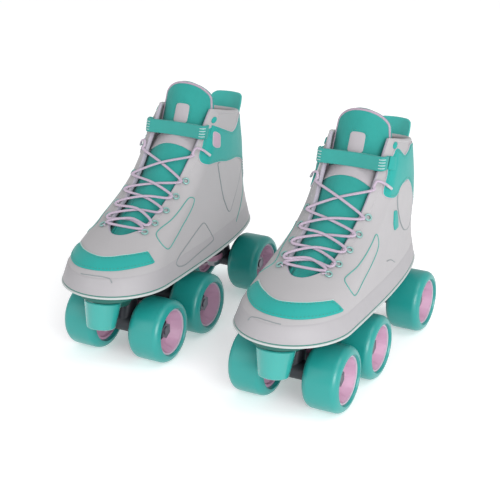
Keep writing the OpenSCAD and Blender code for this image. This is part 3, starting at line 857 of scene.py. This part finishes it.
# Flat pieces: outline, bend, top, bottom, bevel, spacing of points, paint and slot
PATCHES = {
    "toe_band": (TOE_BAND, 2, 0.9, SUNK, 0.5, 2.5, "patch_leather", "teal_webbing"),
    "inner_heel_panel": (INNER_HEEL, 5, 0.55, SUNK, 0.4, 2.5, "upper_leather", "upper_fabric"),
    "outer_oval_panel": (OUTER_OVAL, 8, 0.55, SUNK, 0.4, 2.5, "upper_leather", "upper_fabric"),
    "outer_bar": (OUTER_BAR, 2, 0.9, SUNK, 0.5, 1.2, "patch_leather", "teal_webbing"),
    "ankle_patch": (ANKLE, 3, 1.0, SUNK, 0.5, 2.5, "patch_leather", "teal_webbing"),
    "window": (WINDOW, 3, 1.45, 0.6, 0.35, 1.5, "window_leather", "upper_fabric"),
}
# Raised lines: outline, bend, whether it is closed, width, height, lift, paint and slot
LINES = {
    "toe_band_edge": (TOE_BAND[:BAND_TOP], 8, False, 1.1, 1.15, 0, "mint_edge", "upper_fabric"),
    "toe_bumper": (BUMPER, 4, False, 0.9, 0.35, 0, "outline_grey", "sole_rubber"),
    "outer_fin": (OUTER_FIN, 5, True, 1.1, 0.55, 0, "outline_teal", "teal_webbing"),
    "inner_fin": (INNER_FIN, 5, True, 1.1, 0.55, 0, "outline_teal", "teal_webbing"),
    "inner_quarter": (INNER_QUARTER, 6, True, 1.1, 0.5, 0, "outline_grey", "upper_fabric"),
    "inner_heel_edge": (INNER_HEEL, 5, True, 1.2, 0.7, 0, "outline_grey", "upper_fabric"),
    "outer_oval_edge": (OUTER_OVAL, 8, True, 1.1, 0.8, 0, "outline_grey", "upper_fabric"),
    "outer_arc": (OUTER_ARC, 6, False, 0.9, 0.4, 0, "outline_grey", "upper_fabric"),
    "heel_streak": (HEEL_STREAK, 9, False, 1.1, 0.4, 0, "outline_teal", "teal_webbing"),
    "window_edge": (WINDOW, 3, True, 0.9, 0.6, 1, "pale_binding", "upper_fabric"),
}


def make_panels():
    """Panels sewn to the boot, and the raised lines round them."""
    for name, (outline, bend, top, bottom, bevel, step, paint, slot) in PATCHES.items():
        make(name, slab(rounded(outline, bend), boot, top, bottom, bevel, step), paint)
    for name, (outline, bend, closed, width, height, lift, paint, slot) in LINES.items():
        line = rounded(outline, bend, closed=closed)
        make(name, bead(line, width, height, lift, closed), paint)
    ankle = resampled(rounded(ANKLE, 3), boot, 2.5)
    make("ankle_edge", bead(ankle, 0.9, 1.0), "pale_binding")
    for name, spot in DOTS.items():
        dot = slab(circle(spot, DOT_R), boot, 0.9, SUNK, 0.6, step=1, spacing=1.5, crown=0.4)
        make(name, dot, "patch_leather")


def make_stitching():
    """Threads beside the seams."""
    for name, corners, bend, gap, lift in (("band_stitching", TOE_BAND, 2, 1.9, 0.9),
                                           ("patch_stitching", ANKLE, 3, 2, 1.0)):
        edge = counterclockwise(resampled(rounded(corners, bend), boot, 2.5), BOOT_SCALE)
        seam = stitches(inset(edge, boot, gap), lift=lift, closed=True)
        make(name, seam, "teal_thread")
    rows = []
    for side in (-1, 1):
        line = [(side * (curve(THROAT, z) + SEAM_FROM_THROAT), z) for z in np.linspace(121, 198, 14)]
        rows.append(stitches(line, surface=front_surface, lift=0.05))
    make("throat_stitching", join(*rows), "thread")


# ---------- Tongue ----------
# The tongue's outer face on its middle line, as (along the skate, height, half width)
TONGUE_PATH = [
    [-12, 107, 20], [2, 111.5, 21.5], [14.5, 117.5, 22.5], [26, 123.5, 24], [41, 131, 25],
    [51.7, 137.8, 25.5], [64, 146.8, 26], [74, 156, 26.5], [83, 166, 26.8], [92.5, 174.5, 26.6],
    [101, 181, 26.4], [106, 187.5, 26.4], [112, 199, 26.4], [114.8, 206, 26.2], [116.8, 212, 25.2],
    [118.5, 219, 21], [119.8, 224.5, 13], [120.3, 227, 4],
]
TONGUE_SIDES = 15
TONGUE_TOP = 227.5
TONGUE_BOW = 0.016
TONGUE_X = 3.5
TONGUE_T = 5
TONGUE_SCALE = (1, 1.6)
TONGUE_LINE = [[z, y] for y, z, _ in TONGUE_PATH]
TONGUE_WINDOW = [(-7.6, 190.6), (7.2, 190.6), (7.0, 207.6), (-7.4, 207.6)]
LACE_KEEPER = [
    (-25, 181.5), (25, 181.5), (25.5, 176), (25.5, 170.5), (18, 172.4), (8, 174), (-7, 174.2),
    (-18, 173.4), (-25.5, 172), (-25.5, 177),
]


def tongue(q, height):
    """Points (distance across, height above the floor) on the tongue's outer face."""
    dx, z = q[..., 0], q[..., 1]
    slope = curve(TONGUE_LINE, z + 0.5) - curve(TONGUE_LINE, z - 0.5)
    inward = unit(np.stack([0 * slope, 1 + 0 * slope, -slope], -1))
    base = np.stack([TONGUE_X + dx, curve(TONGUE_LINE, z), z], -1)
    return base + ((TONGUE_BOW * dx * dx)[..., None] - height) * inward


def tongue_outline(shrink=0):
    """The tongue's edge, with an arch over its top."""
    sides = [(w - shrink, z) for _, z, w in TONGUE_PATH[:TONGUE_SIDES]]
    top_z = TONGUE_TOP - shrink
    top_w, arch_z = sides[-1]
    turns = np.radians(np.arange(10, 90, 10))
    right = sides + [(top_w * math.cos(a), arch_z + (top_z - arch_z) * math.sin(a)) for a in turns]
    return np.array(right + [(0, top_z)] + [(-x, z) for x, z in right[::-1]])


def make_tongue():
    """The padded tongue with its piping, window and lace keeper."""
    pad = slab(tongue_outline(), tongue, 0.1, 0.2 - TONGUE_T, 1.8, scale=TONGUE_SCALE, crown=0.7, soft=7,
               two_sided=True)
    for piece in make("tongue", pad, "tongue_cloth", ["tongue"]):
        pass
    edge = [p for p in resampled(tongue_outline(0.9), tongue, 2) if p[1] > 168]
    start = max(range(len(edge)), key=lambda i: np.linalg.norm(edge[i] - edge[i - 1]))
    edge = np.array(edge[start:] + edge[:start])
    piping = sweep(tongue(edge, -0.6), np.array([0, -0.9, 0.3]), ellipse(2.3, 2.3, 8))
    make("tongue_piping", piping, "piping_cord")
    outline = rounded(TONGUE_WINDOW, 4.5, TONGUE_SCALE)
    window = slab(outline, tongue, 1.2, -0.5, 0.4, step=1.5, scale=TONGUE_SCALE)
    make("tongue_window", window, "keeper_leather")
    keeper = rounded(LACE_KEEPER, 5, TONGUE_SCALE)
    keeper = slab(keeper, tongue, 1.5, -0.5, 0.5, step=1.5, scale=TONGUE_SCALE)
    make("lace_keeper", keeper, "keeper_leather")
    edge = counterclockwise(resampled(outline, tongue, 1.5), TONGUE_SCALE)
    seam = stitches(resampled(inset(edge, tongue, -1.6), tongue, 2), tongue, lift=0.7, closed=True)
    make("tongue_stitching", seam, "teal_thread")


# ---------- Strap and heel tab ----------
STRAP_PATH = [
    [-29.8, 104.5], [-29.4, 101.5], [-27.8, 98.8], [-24, 97.6], [-12, 98.9], [3, 99.6], [18, 99.1],
    [30.5, 97.6], [34.4, 98.9], [36, 101.6], [36.4, 104.5],
]
STRAP_Z = 187
STRAP_H = 12
STRAP_T = 2.5
STRAP_UP = np.array([0, 0.3, 1])
THREAD_HEIGHTS = [-3.6, -1.2, 1.2, 3.6]
THREAD_LENGTH = 6
THREAD_START = 4.5
KEEPER_ENDS = 7.4
KEEPER_FADE = 2.2


def outward_of(plan):
    """The level direction away from the boot at each point of the strap's line."""
    step = unit(np.gradient(plan, axis=0))
    return np.column_stack([step[:, 1], -step[:, 0], 0 * step[:, 0]])


def make_strap():
    """The closing strap: a firm band with rounded edges."""
    plan = smooth_path(STRAP_PATH, 8)
    outward = outward_of(plan)
    path = np.column_stack([plan, np.full(len(plan), STRAP_Z)]) - STRAP_T / 2 * outward
    corners = [(x * STRAP_T / 2, y * STRAP_H / 2) for x, y in ((1, -1), (1, 1), (-1, 1), (-1, -1))]
    section = rounded(corners, 1.1, (1, 1))
    rings = [[place - a * out + h * STRAP_UP for a, h in section] for place, out in zip(path, outward)]
    shape = (np.array(rings).reshape(-1, 3), ring_faces(len(rings), len(section)))
    make("strap", shape, "strap_webbing", ["strap"], "strap")


def make_strap_threads():
    """Four short bars of pale thread near each end of the strap."""
    plan = smooth_path(STRAP_PATH, 8)
    run = distances(plan)
    bars = []
    for start in (THREAD_START, run[-1] - THREAD_START - THREAD_LENGTH):
        along = points_at(start + np.linspace(0, THREAD_LENGTH, 6), run, plan)
        outward = outward_of(along)
        for height in THREAD_HEIGHTS:
            path = np.column_stack([along, np.full(len(along), STRAP_Z)]) + height * STRAP_UP
            bars.append(sweep(path + 0.1 * outward, outward, ellipse(0.8, 0.6, 8)))
    make("strap_threads", join(*bars), "pale_thread", body="strap")


def keeper_surface(q, height):
    """The boot, with a height that fades out away from the strap's end."""
    return boot(q, height * np.clip((KEEPER_ENDS - np.abs(q[..., :1])) / KEEPER_FADE, 0.25, 1))


def make_strap_keepers():
    """A wedge of the patch's leather at each end of the strap, which runs the strap on into the boot."""
    for name, side, start, height in (("inner_keeper", -1, 5.65, 2.4), ("outer_keeper", 1, 5.15, 3.7)):
        outline = [(side * c, z) for c, z in ((start, 181), (start, 191), (6.9, 188.5), (7, 178.5))]
        shape = slab(rounded(outline, 1.5), keeper_surface, height, SUNK, 0.9, step=1.5, spacing=2.5)
        make(name, shape, "patch_leather")


TAB_LEAN = 0.45
TAB_BOW = 0.0173
TAB_Y = 195.8
TAB_Z = 180
TAB_T = 3
TAB_OUTLINE = [
    (-17, 180), (17, 180), (17.6, 190), (16.8, 197.5), (13, 199.6), (-13, 199.6), (-16.8, 197.5),
    (-17.6, 190),
]


def heel_tab(q, height):
    """Points (distance across, height above the floor) on the heel tab's inner face, raised outwards."""
    dx, z = q[..., 0], q[..., 1]
    y = TAB_Y + TAB_LEAN * (z - TAB_Z) - TAB_BOW * dx * dx
    return np.stack([curve(MIDDLE_X, 206) - dx, y, z], -1) + height * np.array([0, 1, 0])


def make_heel_tab():
    """The pull tab, slightly puffed."""
    outline = rounded(TAB_OUTLINE, 1.5, (1, 1))
    shape = slab(outline, heel_tab, TAB_T + 0.3, 0, 1.2, scale=(1, 1), crown=0.5, two_sided=True)
    # Its paint is the teal webbing made lighter, as painted light
    for piece in make("heel_tab", shape, "tab_webbing_painted_light", ["heel_tab"]):
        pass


# ---------- Laces ----------
LACE_ROWS = [116.5, 121, 128, 136.5, 147, 167]
LACE_EDGE = 1
RING_ROWS = range(5)
RING_EDGE = 1.2
RING_PLACE = 5.5
LACE_UP = np.array([0, -0.6, 0.8])
LACE_SIZE = (2.6, 1.7)
UPPER_LIFT = 3.7
LOWER_LIFT = 1.9
TIP_SIZE = (2.7, 2.3)
LOOP_SIZE = (1.5, 1.1)
LACE_END = [(3.6, 172, 2.6), (4.4, 172, 3.4), (5.4, 170, 3.4), (6.3, 166.5, 2.8)]


def throat_out(z):
    """The direction straight out of the throat at a height."""
    place = np.array([0.0, z])
    return unit((front_surface(place, 1) - front_surface(place, 0)) * [0, 1, 1])


def lace_point(z, across, lift):
    return front_point(z, across) + lift * throat_out(z)


def eyelet(row, side, up):
    """The lace's place at the throat's edge, above or below the middle of a row."""
    z = LACE_ROWS[row] + 1.3 * up
    reach = RING_EDGE if row in RING_ROWS else LACE_EDGE
    return lace_point(z, side * (curve(THROAT, z) + reach), 1.9)


def ring_loops():
    """A thin loop of cord from the lace to each ring."""
    loops = []
    for row in RING_ROWS:
        for side in (-1, 1):
            z = LACE_ROWS[row]
            ring = lace_point(z, side * (curve(THROAT, z) + RING_PLACE - 1.2), 1.4)
            lace = lace_point(z, side * (curve(THROAT, z) + RING_EDGE), 1.7)
            path = smooth_path([lace, (lace + ring) / 2 + 0.3 * throat_out(z), ring], 4)
            loops.append(sweep(path, throat_out(z), ellipse(*LOOP_SIZE, 8)))
    return join(*loops)


def crossing(row, lift):
    """The place where the lace's arms cross, on the tongue's middle line."""
    z = (LACE_ROWS[row] + LACE_ROWS[row + 1]) / 2 + 1.5
    return tongue(np.array([0.0, z]), lift)


def lace_arm(side, lift):
    """One arm of the crosses, from the lowest row up, on the other side at each row."""
    points = [eyelet(0, side, 1)]
    for row in range(1, len(LACE_ROWS)):
        side = -side
        points += [crossing(row - 1, lift), eyelet(row, side, -1), eyelet(row, side, 1)]
    return points


def make_laces():
    """One lace: down one arm, across the lowest row and up the other, its ends over the ankle patch."""
    ends = [[boot(np.array([side * c, z]), lift) for c, z, lift in LACE_END] for side in (-1, 1)]
    route = ends[0][::-1] + lace_arm(1, UPPER_LIFT)[::-1] + lace_arm(-1, LOWER_LIFT) + ends[1]
    path = smooth_path(route, 5)
    make("laces", sweep(path, LACE_UP, ellipse(*LACE_SIZE)), "lace_braid", ["laces"], sharp=60)
    tips = []
    for *_, before, last in ends:
        tip = smooth_path([last * 1.35 - before * 0.35, last, before * 0.6 + last * 0.4], 3)
        tips.append(sweep(tip, LACE_UP, ellipse(*TIP_SIZE)))
    make("lace_tips", join(*tips), "pale_binding")
    make("ring_loops", ring_loops(), "lace_braid")


# ---------- Wheels and toe stop ----------
WHEEL_R = 29
WHEEL_W = 33.2
SHOULDER = 6.7
HUB_R = 21.2
RIM_OUT = WHEEL_W / 2 - 2.4
RIM_IN = -WHEEL_W / 2 + 3.6
BEARING_R = 10.98
BEARING_SPANS = [(-14, -7), (-5, 2)]
SPOKES = 6
HUB_FACETS = 144
# The core's two faces, as (radius, distance along the axis, depth of the hollows between the spokes)
HUB_FACE = [
    (HUB_R, RIM_OUT - 0.9, 0), (19.6, RIM_OUT - 0.9, 0), (19.2, RIM_OUT - 1.4, 0.3),
    (18.4, RIM_OUT - 2.0, 1.3), (16, 7.2, 1.5), (14.6, 5.2, 1.2), (13.8, 4.2, 0.2), (13.2, 3.4, 0),
    (12.2, 2.4, 0), (BEARING_R, 2.2, 0),
]
HUB_BACK = [
    (BEARING_R, -14.4, 0), (13.5, -14.4, 0), (14, -9, 0), (18.5, -10.5, 0), (19, RIM_IN, 0),
    (HUB_R, RIM_IN, 0),
]
RIM = [
    (HUB_R + 0.02, RIM_OUT - 2), (HUB_R + 0.02, RIM_OUT - 0.3), (20.9, RIM_OUT + 0.1),
    (20.1, RIM_OUT + 0.1), (19.7, RIM_OUT - 0.3), (19.7, RIM_OUT - 2),
]


def arc(middle_r, middle_h, radius, start, end, count=7):
    """Points of an arc in a profile, between two angles in degrees."""
    turns = np.radians(np.linspace(start, end, count))
    return [(middle_r + radius * math.cos(a), middle_h + radius * math.sin(a)) for a in turns]


def tyre_profile():
    """A crowned tread with round shoulders and a small lip round each face."""
    high = WHEEL_W / 2 - SHOULDER
    inner_lip = [(HUB_R, RIM_IN), (HUB_R + 0.5, 1.6 - WHEEL_W / 2)]
    inner_half = arc(WHEEL_R - SHOULDER, -high, SHOULDER, -90, 0)
    outer_half = arc(WHEEL_R - SHOULDER, high, SHOULDER, 0, 90)
    lip = [(HUB_R + 1, WHEEL_W / 2 - 0.3), (HUB_R + 0.4, WHEEL_W / 2 - 1), (HUB_R, RIM_OUT)]
    return inner_lip + inner_half + outer_half + lip


def hub_shape(place, axis):
    """The core: a dish with six shallow spokes on its outer face."""
    turns = full_turn(HUB_FACETS)
    hollows = np.clip(1.6 * np.cos(SPOKES * turns) + 0.9, 0, 1)[:, None]
    outward = np.stack([0 * turns, np.cos(turns), np.sin(turns)], -1)
    rings = [place + (h - deep * hollows) * axis + r * outward for r, h, deep in HUB_FACE + HUB_BACK]
    return np.vstack(rings), ring_faces(len(rings), HUB_FACETS, closed=True)


def bearing_profile(low, high):
    """A bearing's section, with a shield set in between the two races on each face."""
    face = [(4.1, low), (5.6, low), (5.8, low + 0.4), (9.2, low + 0.4), (9.4, low), (BEARING_R, low)]
    return face + [(r, low + high - h) for r, h in face[::-1]]


def make_wheels():
    """On each axle two wheels: a tyre, its core with a flush rim, and two bearings."""
    for axle in AXLES:
        for wheel, sign in WHEEL_SIDES.items():
            name = f"{axle}_{wheel}"
            place = local(middle(f"left_{name}_tyre"))
            axis = np.array([sign, 0, 0])
            body = f"{name}_wheel"
            tyre = lathe(tyre_profile(), place, axis)
            make(f"{name}_tyre", tyre, "wheel_urethane", [f"{name}_tyre"], body)
            make(f"{name}_hub", hub_shape(place, axis), "hub_nylon", [f"{name}_hub"], body)
            make(f"{name}_hub_rim", lathe(RIM, place, axis), "hub_rim_nylon", body=body)
            bearings = [lathe(bearing_profile(*span), place, axis, sides=64) for span in BEARING_SPANS]
            make(f"{name}_bearings", join(*bearings), "shield_steel", body=body)


STOP_LEAN = math.radians(12)
STOP_LEN = 25
STOP_PLACE = np.array([0, -35, SOLE_Z - 10.9])


def make_toe_stop():
    """A glossy cone with a rounded foot on a steel stem."""
    axis = np.array([0, math.sin(STOP_LEAN), math.cos(STOP_LEAN)])
    cone = [(7.95, -12), (7.95, 0), (15.6, 0), (16.5, -0.9), (16.1, -4), (13.2, -STOP_LEN + 3)]
    foot = arc(10.6, -STOP_LEN + 2.5, 2.5, 0, -90, 6)
    hollow = [(4, -STOP_LEN), (3.2, -STOP_LEN + 1), (3.2, -STOP_LEN + 4), (3.2, -13)]
    stop = lathe(cone + foot + hollow, STOP_PLACE, axis)
    make("toe_stop", stop, "stop_urethane", ["toe_stop"], "toe_stop")
    stem_profile = [(7.4, -11.8), (7.87, -11.3), (7.87, 6.1), (7.4, 6.5)]
    stem = lathe(stem_profile, STOP_PLACE, axis, closed=False, sides=64)
    make("stop_stem", stem, "bolt_steel", body="toe_stop")


# ---------- CAD nodes that show ----------
KEPT = {"plate": "plate_nylon", "fasteners": "bolt_steel", "cushions": "cushion_urethane",
        "lace_rings": "ring_paint"}


def paint_kept_nodes():
    for side in MIRROR:
        names = {f"{side}_{part}": paint for part, paint in KEPT.items()}
        for axle in AXLES:
            names[f"{side}_{axle}_truck"] = "truck_paint"
            names[f"{side}_{axle}_axle"] = "axle_steel"
        for name, paint in names.items():
            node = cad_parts[name]
            node.data.materials.clear()
            node.data.materials.append(PAINTS[paint])


make_camera()
make_floor()
make_light()
make_paints()
make_upper()
make_edges()
make_sole()
make_footbed()
make_panels()
make_stitching()
make_tongue()
make_strap()
make_strap_threads()
make_strap_keepers()
make_heel_tab()
make_laces()
make_wheels()
make_toe_stop()
paint_kept_nodes()
